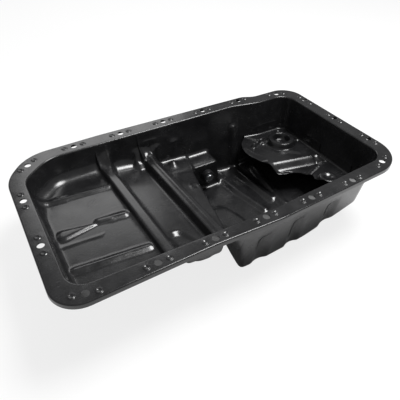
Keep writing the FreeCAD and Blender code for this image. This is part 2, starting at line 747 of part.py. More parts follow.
def ring(name, outer, inner, start, length):
    """A round piece with a hole, along the drain plug's axis from start."""
    body = new_body(name)
    plan = new_sketch(body, name + "_section", "XZ_Plane", start * -1)
    circles(plan, [(S.plug_place, S.plug_height)], outer)
    circles(plan, [(S.plug_place, S.plug_height)], inner)
    extrude(body, "Pad", name + "_round", plan, length)
    return body


def make_drain():
    """The weld nut inside, the washer outside and the plug through both."""
    hole = S.plug_radius + S.thread_gap
    seat = pocket_face + S.sheet_wall
    nut = ring("drain_nut", S.nut_radius, hole, pocket_face, S.nut_length)
    washer = ring("drain_washer", S.washer_radius, hole, seat + S.washer_wall, S.washer_wall)
    plug = new_body("drain_plug")
    under_head = seat + S.washer_wall
    shank = new_sketch(plug, "plug_shank_section", "XZ_Plane", under_head * -1)
    circles(shank, [(S.plug_place, S.plug_height)], S.plug_radius)
    extrude(plug, "Pad", "plug_shank", shank,
            S.washer_wall + S.sheet_wall + S.nut_length + S.plug_beyond)
    head = new_sketch(plug, "plug_head_section", "XZ_Plane", under_head * -1)
    corner = S.plug_head_across * (1 / math.sqrt(3))
    rounded_outline(head, [
        (S.plug_place + corner * math.cos(math.radians(60 * i)),
         S.plug_height + corner * math.sin(math.radians(60 * i)), 0) for i in range(6)])
    extrude(plug, "Pad", "plug_head", head, S.plug_head_length, reverse=True)
    flange = new_sketch(plug, "plug_flange_section", "XZ_Plane", under_head * -1)
    circles(flange, [(S.plug_place, S.plug_height)], S.washer_radius - 0.5)
    extrude(plug, "Pad", "plug_flange", flange, S.washer_wall, reverse=True)
    return [nut, washer, plug]


pieces = [make_shell(), make_baffle(), *make_drain()]
doc.recompute()
for item in doc.Objects:
    if "Invalid" in item.State or "Error" in item.State:
        raise RuntimeError(f"{item.Name} failed: {item.State}")
os.makedirs("parts", exist_ok=True)
for piece in pieces:
    shape = piece.Shape
    if shape.isNull() or not shape.isValid() or len(shape.Solids) != 1:
        raise RuntimeError(f"{piece.Label} is not one valid solid")
    shape.exportStep(f"parts/{piece.Label}.step")
    print(piece.Label, round(shape.Volume), shape.BoundBox)
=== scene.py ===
import math

import bpy
import numpy as np
from mathutils import Matrix, Vector
from mathutils.geometry import delaunay_2d_cdt


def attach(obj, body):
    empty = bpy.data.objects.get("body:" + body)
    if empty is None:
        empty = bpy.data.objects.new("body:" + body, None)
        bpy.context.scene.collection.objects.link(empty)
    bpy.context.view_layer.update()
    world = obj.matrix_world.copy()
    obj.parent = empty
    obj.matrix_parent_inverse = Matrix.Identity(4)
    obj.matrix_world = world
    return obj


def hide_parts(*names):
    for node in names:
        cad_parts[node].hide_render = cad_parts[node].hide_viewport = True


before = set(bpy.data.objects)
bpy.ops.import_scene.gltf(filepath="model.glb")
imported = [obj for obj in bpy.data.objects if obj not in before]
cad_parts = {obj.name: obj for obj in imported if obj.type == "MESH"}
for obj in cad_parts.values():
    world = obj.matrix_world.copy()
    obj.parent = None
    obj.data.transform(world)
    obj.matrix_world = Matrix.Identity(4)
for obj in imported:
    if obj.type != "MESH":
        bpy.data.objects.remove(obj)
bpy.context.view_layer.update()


# Camera
# It stands in front of the shallow end's left corner, above the pan, where the
# photograph was taken from. Its place and turn come from the nineteen bolt holes
# that the photograph shows, fitted with a plain pinhole camera.
photo_width = 400
focal_pixels = 409.333
sensor_width = 36.0
camera_place = Vector((-0.205148, -0.328457, 0.370292))
camera_azimuth, camera_drop, camera_roll = (math.radians(a) for a in (-30.615, 40.689, 0.525))

camera_data = bpy.data.cameras.new("camera")
camera_data.sensor_width = sensor_width
camera_data.lens = focal_pixels / photo_width * sensor_width
camera_data.clip_start = 0.01
camera = bpy.data.objects.new("camera", camera_data)
backward = Vector((math.sin(camera_azimuth) * math.cos(camera_drop),
                   -math.cos(camera_azimuth) * math.cos(camera_drop), math.sin(camera_drop)))
level_right = Vector((0, 0, 1)).cross(backward).normalized()
level_up = backward.cross(level_right)
right = math.cos(camera_roll) * level_right + math.sin(camera_roll) * level_up
up = backward.cross(right)
camera_turn = Matrix((right, up, backward)).transposed()
camera.matrix_world = Matrix.Translation(camera_place) @ camera_turn.to_4x4()
bpy.context.scene.collection.objects.link(camera)
bpy.context.scene.camera = camera


# Pan shell
# One sheet of deep-drawing steel, 1.5 mm thick, drawn in a press to a flange, walls
# and stepped floors. The flange is pierced for its bolts and embossed beside each
# hole, its edge is turned down, and the whole pan is dipped in black coating.
MM = 0.001
sheet_wall = 1.5
flange_level = 96.0
draft = math.radians(8.0)
rim_bend = 2.0
lip_bend = 1.4
lip_bottom = 90.5
wall_bend = 6.0

flange_corners = [
    (-209.0, -118.0, 28.0), (-58.5, -115.5, 150.0), (16.5, -118.45, 150.0), (206.5, -110.5, 44.0),
    (206.5, 108.0, 29.0), (141.5, 108.0, 25.0), (126.0, 115.5, 25.0), (-91.0, 118.45, 300.0),
    (-180.0, 115.5, 50.0), (-209.0, 77.5, 50.0)]
rim_corners = [
    (-191.5, -98.0, 18.0), (16.5, -101.8, 200.0), (188.0, -92.5, 22.0), (188.0, 89.0, 20.0),
    (138.0, 89.0, 60.0), (98.0, 97.5, 60.0), (-158.5, 97.5, 38.0), (-191.5, 68.5, 25.0)]


def rounded_ring(corners, step):
    """Points along a closed outline, one every step: its straight runs are joined by
    an arc of each corner's radius, touching both runs."""
    arcs = []
    places = np.array([corner[:2] for corner in corners])
    for i, here in enumerate(places):
        radius = corners[i][2]
        back = places[i - 1] - here
        on = places[(i + 1) % len(corners)] - here
        back, on = back / np.linalg.norm(back), on / np.linalg.norm(on)
        half = math.acos(np.clip(back @ on, -1, 1)) / 2
        middle = (back + on) / np.linalg.norm(back + on)
        centre = here + middle * radius / math.sin(half)
        first = here + back * radius / math.tan(half) - centre
        last = here + on * radius / math.tan(half) - centre
        begin = math.atan2(first[1], first[0])
        sweep = (math.atan2(last[1], last[0]) - begin + math.pi) % (2 * math.pi) - math.pi
        turn = begin + sweep * np.linspace(0, 1, 2 + int(abs(sweep) * radius / step * 2))
        arcs.append(centre + radius * np.stack([np.cos(turn), np.sin(turn)], 1))
    ring = np.vstack(arcs)
    ring = np.vstack([ring, ring[:1]])
    along = np.concatenate([[0], np.cumsum(np.linalg.norm(np.diff(ring, axis=0), axis=1))])
    even = np.linspace(0, along[-1], int(along[-1] / step) + 1)[:-1]
    return np.stack([np.interp(even, along, ring[:, 0]), np.interp(even, along, ring[:, 1])], 1)


def ring_normals(ring):
    """Unit vectors that point out of a ring that runs anticlockwise."""
    along = np.roll(ring, -1, 0) - np.roll(ring, 1, 0)
    outwards = np.stack([along[:, 1], -along[:, 0]], 1)
    return outwards / np.linalg.norm(outwards, axis=1)[:, None]


def depth_inside(x, y, ring):
    """How far points lie inside a ring: the distance to the nearest of its short runs,
    negative for a point on the run's right-hand side, which is outside."""
    run = np.roll(ring, -1, 0) - ring
    squared = (run ** 2).sum(1)
    places = np.stack([np.ravel(x), np.ravel(y)], 1)
    depth = np.empty(len(places))
    for part in np.array_split(np.arange(len(places)), 1 + len(places) // 4000):
        away = places[part, None, :] - ring[None]
        share = np.clip((away * run).sum(2) / squared, 0, 1)
        away = away - share[..., None] * run
        length = (away ** 2).sum(2)
        nearest = length.argmin(1)
        away = away[np.arange(len(part)), nearest]
        side = run[nearest, 0] * away[:, 1] - run[nearest, 1] * away[:, 0]
        depth[part] = np.sqrt(length[np.arange(len(part)), nearest]) * np.where(side < 0, -1, 1)
    return depth.reshape(np.shape(x))


def ease(share):
    """0 below 0, 1 above 1 and a smooth step between."""
    share = np.clip(share, 0, 1)
    return share * share * (3 - 2 * share)


# The floor's section at the middle of the pan: the shallow floor, the first ridge,
# the middle floor, the second ridge, the shelf, the sump's side and its floor. Each
# knot is (x, level, x gained for each millimetre towards the back, spacing after it).
ridge_skew = -math.tan(math.radians(2.1))
sump_skew = math.tan(math.radians(11.0))
spine_left, spine_right = -120.0, 120.0
floor_knots = np.array([
    (spine_left, 62.5, 0.0, 1.6), (-101.6, 62.5, ridge_skew, 1.1), (-98.4, 69.0, ridge_skew, 1.1),
    (-88.0, 69.0, ridge_skew, 1.1), (-82.6, 58.0, ridge_skew, 1.5), (-45.6, 54.0, ridge_skew, 1.1),
    (-42.4, 65.0, ridge_skew, 1.1), (-29.0, 65.0, ridge_skew, 1.1), (-20.9, 45.7, ridge_skew, 1.3),
    (0.0, 42.0, sump_skew, 1.5), (8.9, 1.5, sump_skew, 1.5), (75.0, 1.5, 0.0, 2.2),
    (90.0, 2.3, 0.0, 2.2), (105.0, 5.4, 0.0, 2.2), (spine_right, 9.3, 0.0, 2.2)])
ridge_foot, sump_brink, sump_foot = 8, 9, 10


def section_shares(knots):
    """Share of each knot in each point of the section, a row for each point: straight
    between knots, then averaged over five neighbours, which rounds the bends."""
    rows = []
    count = len(knots)
    for i in range(count - 1):
        length = np.hypot(*(knots[i + 1, :2] - knots[i, :2]))
        share = np.linspace(0, 1, max(2, int(length / knots[i, 3])) + 1)[:-1]
        row = np.zeros((len(share), count))
        row[:, i], row[:, i + 1] = 1 - share, share
        rows.append(row)
    last = np.zeros((1, count))
    last[0, -1] = 1
    rows = np.vstack(rows + [last])
    padded = np.vstack([rows[:1]] * 2 + [rows] + [rows[-1:]] * 2)
    shares = sum(weight * padded[i:i + len(rows)]
                 for i, weight in enumerate((1 / 9, 2 / 9, 3 / 9, 2 / 9, 1 / 9)))
    shares[0], shares[-1] = rows[0], rows[-1]
    return shares


section = section_shares(floor_knots)
section_level = (section * floor_knots[:, 1]).sum(1)[:, None]


def knot_places(y):
    """Where the section's knots lie along the pan, at y across it: every knot slides
    with its skew, and the sump's side never passes the second ridge's foot."""
    places = floor_knots[:, 0] + y[..., None] * floor_knots[:, 2]
    foot = places[..., ridge_foot]
    sharpness = 0.5
    for knot, least in ((sump_brink, 1.5), (sump_foot, 10.0)):
        gap = places[..., knot] - foot - least
        places[..., knot] = foot + least + np.logaddexp(0, gap * sharpness) / sharpness
    return places


def along_section(y):
    """Where the section's points lie along the pan. y has a row of places across the
    pan for each point."""
    return (section[:, None, :] * knot_places(y)).sum(2)


def raised(x, y, line, height, soft):
    """A bead along a line of points (x, y, radius), as wide at each as its radius, with
    a flat top and soft sides."""
    risen = 0
    for (x0, y0, radius0), (x1, y1, radius1) in zip(line, line[1:]):
        run = (x1 - x0, y1 - y0)
        share = np.clip(((x - x0) * run[0] + (y - y0) * run[1]) / (run[0] ** 2 + run[1] ** 2), 0, 1)
        away = np.hypot(x - x0 - share * run[0], y - y0 - share * run[1])
        risen = np.maximum(risen, ease((radius0 + (radius1 - radius0) * share - away) / soft))
    return height * risen


# The floors' beads, each as its line, its height and the width of its soft sides
beads = [
    ([(-183, 60, 5.8), (-106, 54, 5.8)], 2.6, 5.2),
    ([(-180, -51, 5.8), (-104, -58, 5.8)], 2.6, 5.2),
    ([(-175, 0, 9.5), (-142, 0, 3.5)], 2.4, 5.0),
    ([(-136, 3, 6.2), (-107, 0, 6.2)], 2.6, 5.0),
    ([(-183, -15, 2.4), (-139, -18, 2.4)], 0.7, 2.6),
    ([(-103, 12, 1.5), (-102, -20, 1.5)], 0.5, 1.5),
    # long soft beads across the sump's floor
    ([(62, 84, 8.5), (69, 32, 8.5), (79, -20, 7.0)], 3.0, 7.0),
    ([(93, 74, 7.5), (99, -8, 7.5)], 2.8, 6.5),
    ([(117, 60, 7.5), (106, -28, 7.5)], 2.8, 6.5),
    # the pad beside the sump's left side and the scoop at the middle floor's front end
    ([(20, -2, 19.0), (29, -22, 16.0)], 3.0, 5.0),
    ([(-70, -56, 11.0), (-60, -84, 15.0)], -3.0, 6.0),
    # knobs on the bend along the back wall
    ([(-89, 88, 7.0), (-89, 89, 7.0)], 3.0, 6.0),
    ([(-52, 84, 9.0), (-52, 85, 9.0)], 6.0, 6.0),
    ([(-26, 83, 7.0), (-26, 84, 7.0)], 4.0, 6.0),
    ([(-6, 79, 8.0), (-6, 80, 8.0)], 6.0, 6.0)]
eyelet_x, eyelet_y, eyelet_radius, eyelet_width, eyelet_height = -3.0, 25.0, 5.5, 1.4, 1.2
crown_x, crown_width, crown_height, crown_end, crown_fade = -35.0, 3.0, 1.5, 95.0, 12.0


def floor_beads(x, y):
    """Height of all that is pressed up from the floors: the beads, a small eyelet ring
    on the shelf and a soft crown along the second ridge."""
    height = np.zeros(np.shape(x))
    for line, high, soft in beads:
        height += raised(x, y, line, high, soft)
    away = np.hypot(x - eyelet_x, y - eyelet_y)
    height += eyelet_height * np.exp(-((away - eyelet_radius) / eyelet_width) ** 2)
    crown = np.exp(-((x - crown_x - y * ridge_skew) / crown_width) ** 2)
    height += crown_height * crown * ease((crown_end - abs(y)) / crown_fade)
    return height


flute_places, flute_radius, flute_reach = (16.5, 66.2, 121.1), 23.0, 3.0
flute_top, flute_fade = 54.0, 7.0
rib_place, rib_radius, rib_reach, rib_top, rib_fade = 97.0, 8.0, 4.5, 71.0, 5.0
# The walls are pressed only beyond this distance from the pan's middle.
press_from = 40.0
# Soft lumps pressed in the back wall: (x, level, half width, half height, reach)
wall_lumps = [(-92.0, 76.0, 7.0, 6.0, 4.0), (-50.0, 69.0, 8.0, 6.0, 4.2), (-24.0, 67.0, 7.0, 7.0, 5.0),
              (2.0, 66.0, 7.0, 7.0, 5.0), (-30.0, 81.0, 14.0, 2.5, 1.3), (-8.0, 76.0, 5.0, 7.0, 1.6),
              (14.0, 72.0, 4.0, 9.0, 1.6), (40.0, 58.0, 12.0, 8.0, 1.6)]


def bow(x, place, radius, reach):
    """How far a round form reaches into the pan from a wall: reach at its middle, then
    less along its radius."""
    return np.maximum(np.sqrt(np.maximum(radius ** 2 - (x - place) ** 2, 0)) - radius + reach, 0)


def wall_press(x, y, z):
    """How far the walls are pressed inwards: round flutes in the front wall, a round
    rib and soft lumps in the back wall, each fading at its top."""
    press = np.zeros(np.shape(z))
    for place in flute_places:
        flute = bow(x, place, flute_radius, flute_reach)
        press += np.where(y < -press_from, flute, 0) * ease((flute_top - z) / flute_fade)
    rib = bow(x, rib_place, rib_radius, rib_reach)
    press += np.where(y > press_from, rib, 0) * ease((rib_top - z) / rib_fade)
    for place, level, wide, high, reach in wall_lumps:
        lump = reach * np.exp(-((x - place) / wide) ** 2 - ((z - level) / high) ** 2)
        press += np.where(y > press_from, lump, 0)
    return press


# The drain pocket, a step pressed into the sump's back: its left and right end, its
# face, its top and the rounding of its edges. Its face leans while it is drawn.
pocket_left, pocket_right, pocket_face, pocket_top, pocket_round = -18.0, 54.0, 62.0, 41.0, 3.5
face_lean = math.tan(math.radians(10.0))
back_bend_extra, back_bend_from, back_bend_end = 7.0, 30.0, -26.0


def bend_radius(x, y):
    """Radius of the bend between wall and floor: it widens along the back wall of the
    shallow end, where the sheet was drawn over a rounder tool."""
    behind = ease((y - back_bend_from) / 30)
    return wall_bend + back_bend_extra * behind * ease((back_bend_end - x) / 16)


def inside_surface(x, y, depth, floor, level_share):
    """Height of the sheet's inner side. A point belongs to the space inside while it is
    clear of the leaning wall, of the floor and of the drain pocket, and the corners
    between them are rounded by the bend radius. The height is found by halving."""
    radius = bend_radius(x, y)
    low, high = np.full(np.shape(x), -5.0), np.full(np.shape(x), flange_level)
    halvings = 26
    for _ in range(halvings):
        z = (low + high) / 2
        from_wall = (depth - wall_press(x, y, z)) * math.cos(draft) - (flange_level - z) * math.sin(draft)
        from_floor = (z - floor) * level_share
        under = pocket_top - z
        sides = np.stack([x - pocket_right - under * math.tan(draft),
                          pocket_face - under * face_lean - y, z - pocket_top]) + pocket_round
        from_pocket = (np.sqrt((np.maximum(sides, 0) ** 2).sum(0)) - pocket_round
                       + np.minimum(sides.max(0), 0))
        from_pocket = np.where(x < pocket_left, radius, from_pocket)
        blocked = sum(np.maximum(radius - gap, 0) ** 2
                      for gap in (from_wall, from_floor, from_pocket)) > radius ** 2
        low, high = np.where(blocked, z, low), np.where(blocked, high, z)
    return (low + high) / 2


def sump_floor(x):
    """Level of the floor beyond the spine's ends: flat at the shallow end, rising at
    the deep end as the section's last run does."""
    run, rise = (floor_knots[-1] - floor_knots[-2])[:2]
    return np.where(x < 0, floor_knots[0, 1], floor_knots[-1, 1] + (x - spine_right) * rise / run)


fan_rays, fan_corner, corner_crowding, corner_width = 126, math.radians(53.0), 1.3, 0.3
bend_rows, wall_rows, curve_rows, floor_rows = 5, 11, 7, 36
# The floor's bend touches wall and floor at these shares of its radius from the foot.
touch_wall, touch_floor = 0.12, 0.87
# Shares of the way to the spine between which the drain pocket's face lies.
face_from, face_to = 66 / 88, 53 / 88


def inner_grid(rim):
    """The pressed inside as a grid of rows by columns. Columns run from the rim to the
    spine, across the pan at the section's points and as fans at both ends. Rows follow
    the rim's bend, the wall, the floor's bend and the floor."""
    sides = len(section)
    # a fan's rays lie closer where they meet the rim's corners
    spread = np.linspace(-math.pi / 2, math.pi / 2, 400)
    crowd = np.cumsum(1 + corner_crowding * np.exp(-((abs(spread) - fan_corner) / corner_width) ** 2))
    crowd = (crowd - crowd[0]) / (crowd[-1] - crowd[0])
    rays = np.interp(np.linspace(0, 1, fan_rays + 2)[1:-1], crowd, spread)
    columns = 2 * sides + 2 * fan_rays
    front, back = np.arange(sides), np.arange(sides + fan_rays, 2 * sides + fan_rays)
    fans = [np.arange(sides, sides + fan_rays), np.arange(2 * sides + fan_rays, columns)]

    def column_points(reach):
        """Points at reach from the spine, a row of reaches for each column."""
        x, y = np.empty_like(reach), np.empty_like(reach)
        y[front] = -reach[front]
        x[front] = along_section(y[front])
        y[back] = reach[back]
        x[back] = along_section(y[back[::-1]])[::-1]
        for part, turn, end in zip(fans, (rays, rays + math.pi), (spine_right, spine_left)):
            x[part] = end + reach[part] * np.cos(turn)[:, None]
            y[part] = reach[part] * np.sin(turn)[:, None]
        return x, y

    def bare_floor(x):
        """Level of the floor without its beads, a row of places for each column."""
        level = np.empty_like(x)
        level[front] = section_level
        level[back] = section_level[::-1]
        for part in fans:
            level[part] = sump_floor(x[part])
        return level

    # each column's reach to the rim's bend, found from a first guess in rounds, and how
    # fast the depth inside the rim grows along the column
    start = rim_bend * math.tan((math.pi / 2 - draft) / 2)
    first_guess, rounds = 95.0, 30
    reach = np.full((columns, 1), first_guess)
    for _ in range(rounds):
        reach += depth_inside(*column_points(reach), rim) + start
    step_in = 4.0
    slant = (depth_inside(*column_points(reach - step_in), rim) + start) / step_in

    # depth at which the wall, as it is pressed just over the floor, would meet the floor
    x, y = column_points(reach - 12.0)
    over_pocket = (y > pocket_face) & (x > pocket_left) & (x < pocket_right + 3)
    level = bare_floor(x)
    level = np.where(over_pocket, np.maximum(level, pocket_top), level)
    foot = (flange_level - level) * math.tan(draft)
    foot += wall_press(*column_points(reach - foot / slant), level + 4.0)
    foot = np.maximum(foot, 3.0)

    bend = rim_bend * np.sin(np.linspace(0, math.pi / 2 - draft, bend_rows)) - start
    radius = bend_radius(*column_points(reach - foot / slant))
    wall_end, floor_start = foot - radius * touch_wall, foot + radius * touch_floor
    wall = bend[-1] + (wall_end - bend[-1]) * np.linspace(0, 1, wall_rows + 1)[1:]
    turn = np.linspace(math.pi / 2 - draft, 0, curve_rows + 1)[1:]
    curve = floor_start - (floor_start - wall_end) * np.sin(turn) / math.cos(draft)
    depths = np.hstack([np.repeat(bend[None], columns, 0), wall, curve])
    edge = reach - (depths + start) / slant
    # across the floor: even rows in front, closer ones at the drain pocket's face behind
    even = np.linspace(1, 0, floor_rows + 1)[1:]
    dense = np.concatenate([np.linspace(1, face_from, 7), np.linspace(face_from, face_to, 15)[1:],
                            np.linspace(face_to, 0, 17)[1:]])[1:]
    mix = np.zeros((columns, 1))
    mix[back] = 1
    mix[fans[0]] = np.linspace(0, 1, fan_rays)[:, None]
    mix[fans[1]] = np.linspace(1, 0, fan_rays)[:, None]
    across = (1 - mix) * even + mix * dense
    x, y = column_points(np.hstack([edge, edge[:, -1:] * across]))

    floor = bare_floor(x)
    slope = np.ones_like(x)
    for part in (front, back):
        gain_x = np.gradient(x[part], axis=0)
        gain_z = np.gradient(floor[part], axis=0)
        slope[part] = np.abs(gain_x) / np.hypot(gain_x, gain_z)
    floor = floor + floor_beads(x, y)
    depth = depth_inside(x, y, rim)
    z = inside_surface(x, y, depth, floor, slope)
    on_bend = np.clip(depth + start, 0, rim_bend)
    arc = flange_level - rim_bend + np.sqrt(np.maximum(rim_bend ** 2 - on_bend ** 2, 0))
    z = np.where(depth < bend[-1], arc, z)
    z[:, 0] = flange_level
    # the pocket's face leans so that each place has one height; now it is set upright
    upright = ease((y - 22) / 26) * ease((84 - x) / 26) * ease((x + 25) / 10)
    y = y + np.maximum(pocket_top - z, 0) * face_lean * upright
    return np.stack([x, y, z], 2).transpose(1, 0, 2)


hole_radius = 3.75
# Bolt holes as (x, y, direction of the flange beside them in degrees)
bolt_holes = ([(x, -108.0, 0.0) for x in (-116.4, -57.4, 1.6, 60.6, 119.6)]
              + [(x, 108.0, 0.0) for x in (-125.0, -65.0, -5.0, 55.0, 115.0)]
              + [(-200.0, y, 90.0) for y in (-36.3, 34.7)]
              + [(200.0, y, 90.0) for y in (-57.1, 2.4, 61.9)]
              + [(-182.0, -108.0, -15.0), (-182.0, 95.5, 37.0)]
              + [(176.0, -99.4, 22.0), (176.0, 98.0, -17.0)])
dimple_reach = 11.2
# A dimple's section as (radius, height): a ring raised round a small dent
dimple_section = [(3.95, 0.0), (3.5, 0.18), (3.0, 0.6), (2.5, 0.8), (2.0, 0.72), (1.3, 0.38),
                  (0.6, 0.28)]


def circle(x, y, radius, count):
    """Points round a circle."""
    turn = np.linspace(0, 2 * math.pi, count, endpoint=False)
    return np.stack([x + radius * np.cos(turn), y + radius * np.sin(turn)], 1)


def flange_plate(outer, inner):
    """The flat of the flange between two rings, cut into triangles round the bolt holes
    and dimples. Gives the places, the triangles and the holes' rings."""
    holes = [circle(x, y, hole_radius, 28) for x, y, direction in bolt_holes]
    rings = [outer, inner, *holes]
    heights = [0.0] * len(rings)
    for x, y, direction in bolt_holes:
        along = math.radians(direction)
        for side in (-1, 1):
            place = (x + side * dimple_reach * math.cos(along), y + side * dimple_reach * math.sin(along))
            rings += [circle(*place, radius, 20) for radius, height in dimple_section]
            rings.append(np.array([place]))
            heights += [height for radius, height in dimple_section] + [dimple_section[-1][1]]
    firsts = np.concatenate([[0], np.cumsum([len(ring) for ring in rings])])
    flat = np.vstack(rings)
    levels = flange_level + np.repeat(heights, np.diff(firsts))
    edges = [(first + i, first + (i + 1) % (last - first))
             for first, last in zip(firsts, firsts[1:]) if last - first > 1
             for i in range(last - first)]
    made = delaunay_2d_cdt([Vector(point) for point in flat.tolist()], edges, [], 0, 1e-5)
    assert len(made[0]) == len(flat), "the flange's rings cross"
    own_number = np.array([sources[0] for sources in made[3]])
    triangles = own_number[np.array([list(triangle) for triangle in made[2]])]
    centres = flat[triangles].mean(1)
    kept = (depth_inside(*centres.T, outer) > 0) & (depth_inside(*centres.T, inner) < 0)
    for hole in holes:
        kept &= np.linalg.norm(centres - hole.mean(0), axis=1) > hole_radius
    # slivers on a nearly straight run of one ring: their corners' order tells the side
    for first, last, forwards in ((firsts[0], firsts[1], True), (firsts[1], firsts[2], False)):
        on_ring = ((triangles >= first) & (triangles < last)).all(1)
        turn = (triangles[:, 1:] - triangles[:, :1]) % (last - first)
        kept = np.where(on_ring, (turn[:, 0] < turn[:, 1]) == forwards, kept)
    triangles = triangles[kept]
    a, b, c = flat[triangles].transpose(1, 0, 2)
    if np.sum((b - a)[:, 0] * (c - a)[:, 1] - (b - a)[:, 1] * (c - a)[:, 0]) < 0:
        triangles = triangles[:, ::-1]
    hole_rings = [np.arange(firsts[i], firsts[i + 1]) for i in range(2, 2 + len(holes))]
    return np.column_stack([flat, levels]), triangles, hole_rings


def strip(rows):
    """Quads between neighbouring rows of point numbers that close on themselves."""
    low, high = rows[:-1], rows[1:]
    return np.stack([low, np.roll(low, -1, 1), np.roll(high, -1, 1), high], 2).reshape(-1, 4)


def point_normals(points, faces):
    """Normals at the points: the faces' normals, weighed by their areas."""
    a, b, c = points[faces[:, 0]], points[faces[:, 1]], points[faces[:, 2]]
    d = points[faces[:, -1]]
    across = np.cross(c - a, d - b)
    across = np.where((faces[:, 2] == faces[:, 3])[:, None], np.cross(b - a, c - a), across)
    normals = np.zeros_like(points)
    for corner in range(4):
        np.add.at(normals, faces[:, corner], across)
    return normals / np.maximum(np.linalg.norm(normals, axis=1), 1e-9)[:, None]


def new_piece(name, points, faces, smooth_angle=40.0):
    """A mesh object from points in millimetres and faces of point numbers; a face that
    names a point twice becomes a triangle. Bends under smooth_angle shade smoothly."""
    lists = []
    for face in faces.tolist():
        kept = list(dict.fromkeys(face))
        if len(kept) > 2:
            lists.append(kept)
    mesh = bpy.data.meshes.new(name)
    mesh.from_pydata((points * MM).tolist(), [], lists)
    mesh.validate()
    mesh.shade_smooth()
    mesh.set_sharp_from_angle(angle=math.radians(smooth_angle))
    piece = bpy.data.objects.new(name, mesh)
    bpy.context.scene.collection.objects.link(piece)
    # large flat faces keep their flat look up to the bends beside them
    flats = piece.modifiers.new("flats", "WEIGHTED_NORMAL")
    flats.keep_sharp = True
    flats.weight = 90
    return piece


def sheet_metal(points, faces, edges, wall):
    """Gives a surface its thickness: its points moved back along their normals by wall,
    its faces turned over, and quads that close each edge ring. A ring that runs against
    its faces' own edges is turned round first."""
    under = points - point_normals(points, faces) * wall
    shift = len(points)
    own_edges = np.unique(faces * shift + np.roll(faces, -1, 1))
    closing = []
    for ring in edges:
        if ring[0] * shift + ring[1] not in own_edges:
            ring = ring[::-1]
        on = np.roll(ring, -1)
        closing.append(np.stack([ring, ring + shift, on + shift, on], 1))
    return np.vstack([points, under]), np.vstack([faces, faces[:, ::-1] + shift, *closing])


rim = rounded_ring(rim_corners, 1.0)
outline = rounded_ring(flange_corners, 2.4)
outwards = ring_normals(outline)
turn = np.linspace(math.pi / 2, 0, 5)
lip_inset = np.concatenate([[0, 0], lip_bend * (1 - np.sin(turn))])
lip_level = np.concatenate([[lip_bottom, (lip_bottom + flange_level - lip_bend) / 2],
                            flange_level - lip_bend * (1 - np.cos(turn))])
lip = np.stack([np.column_stack([outline - outwards * inset, np.full(len(outline), level)])
                for inset, level in zip(lip_inset, lip_level)])
inside = inner_grid(rim)
plate, plate_faces, hole_rings = flange_plate(lip[-1][:, :2], inside[0][:, :2])

lip_rows = np.arange(lip.shape[0] * lip.shape[1]).reshape(lip.shape[:2])
plate_start = lip_rows.size
plate_numbers = np.arange(len(plate)) + plate_start
plate_numbers[:lip.shape[1]] = lip_rows[-1]
inside_start = plate_start + len(plate)
inside_rows = np.arange(inside.shape[0] * inside.shape[1]).reshape(inside.shape[:2]) + inside_start
inside_rows[0] = plate_numbers[lip.shape[1]:lip.shape[1] + inside.shape[1]]
# both halves of the grid share the points on the spine
first_at, same_as = np.unique(np.round(inside[-1], 3), axis=0, return_index=True,
                              return_inverse=True)[1:]
inside_rows[-1] = inside_rows[-1][first_at[same_as.ravel()]]

points = np.vstack([lip.reshape(-1, 3), plate, inside.reshape(-1, 3)])
plate_faces = plate_numbers[plate_faces]
faces = np.vstack([strip(lip_rows), np.column_stack([plate_faces, plate_faces[:, 2]]),
                   strip(inside_rows)])
used = np.unique(faces)
renumber = np.zeros(len(points), int)
renumber[used] = np.arange(len(used))
points, faces = points[used], renumber[faces]
edge_rings = [renumber[lip_rows[0]][::-1]] + [renumber[plate_numbers[ring]] for ring in hole_rings]
points, faces = sheet_metal(points, faces, edge_rings, sheet_wall)
pan = new_piece("pan_sheet", points, faces)


def linear(text):
    """A colour written as sRGB hex, as the linear values that a shader takes."""
    levels = np.array([int(text[i:i + 2], 16) / 255 for i in (1, 3, 5)])
    levels = np.where(levels <= 0.04045, levels / 12.92, ((levels + 0.055) / 1.055) ** 2.4)
    return (*levels.tolist(), 1.0)


def add_node(owner, kind, inputs=(), **settings):
    """Adds a node to a material or to the world, with its settings. An input takes a
    value or another node's output. Gives the node's outputs."""
    made = owner.node_tree.nodes.new(kind)
    for key, value in settings.items():
        setattr(made, key, value)
    for key, value in dict(inputs).items():
        if isinstance(value, bpy.types.NodeSocket):
            owner.node_tree.links.new(value, made.inputs[key])
        else:
            made.inputs[key].default_value = value
    return made.outputs


def new_material(name):
    """A material without nodes."""
    material = bpy.data.materials.new(name)
    material.use_nodes = True
    material.node_tree.nodes.clear()
    return material


def noise(material, place, size, detail, roughness=0.5):
    """Cloudy noise whose blots are about size millimetres wide."""
    return add_node(material, "ShaderNodeTexNoise", {"Vector": place, "Scale": 1 / (size * MM),
                                                     "Detail": detail, "Roughness": roughness})[0]


def mapped(material, value, low, high, to_low=0.0, to_high=1.0):
    """A value mapped from low and high to two other values, and held between them."""
    return add_node(material, "ShaderNodeMapRange", {"Value": value, "From Min": low, "From Max": high,
                                                     "To Min": to_low, "To Max": to_high})[0]


def mixed(material, share, first, second):
    """A colour between two others."""
    return add_node(material, "ShaderNodeMixRGB", {"Fac": share, "Color1": first, "Color2": second})[0]


def worked(material, operation, *values):
    """The result of a sum on values and outputs."""
    return add_node(material, "ShaderNodeMath", dict(enumerate(values)), operation=operation)[0]


def finished(material, colour, rough, bump, metallic=0.0):
    """Adds a material's surface shader and its output."""
    shader = add_node(material, "ShaderNodeBsdfPrincipled", {"Base Color": colour, "Roughness": rough,
                                                             "Metallic": metallic, "Normal": bump})[0]
    add_node(material, "ShaderNodeOutputMaterial", {"Surface": shader})
    return material


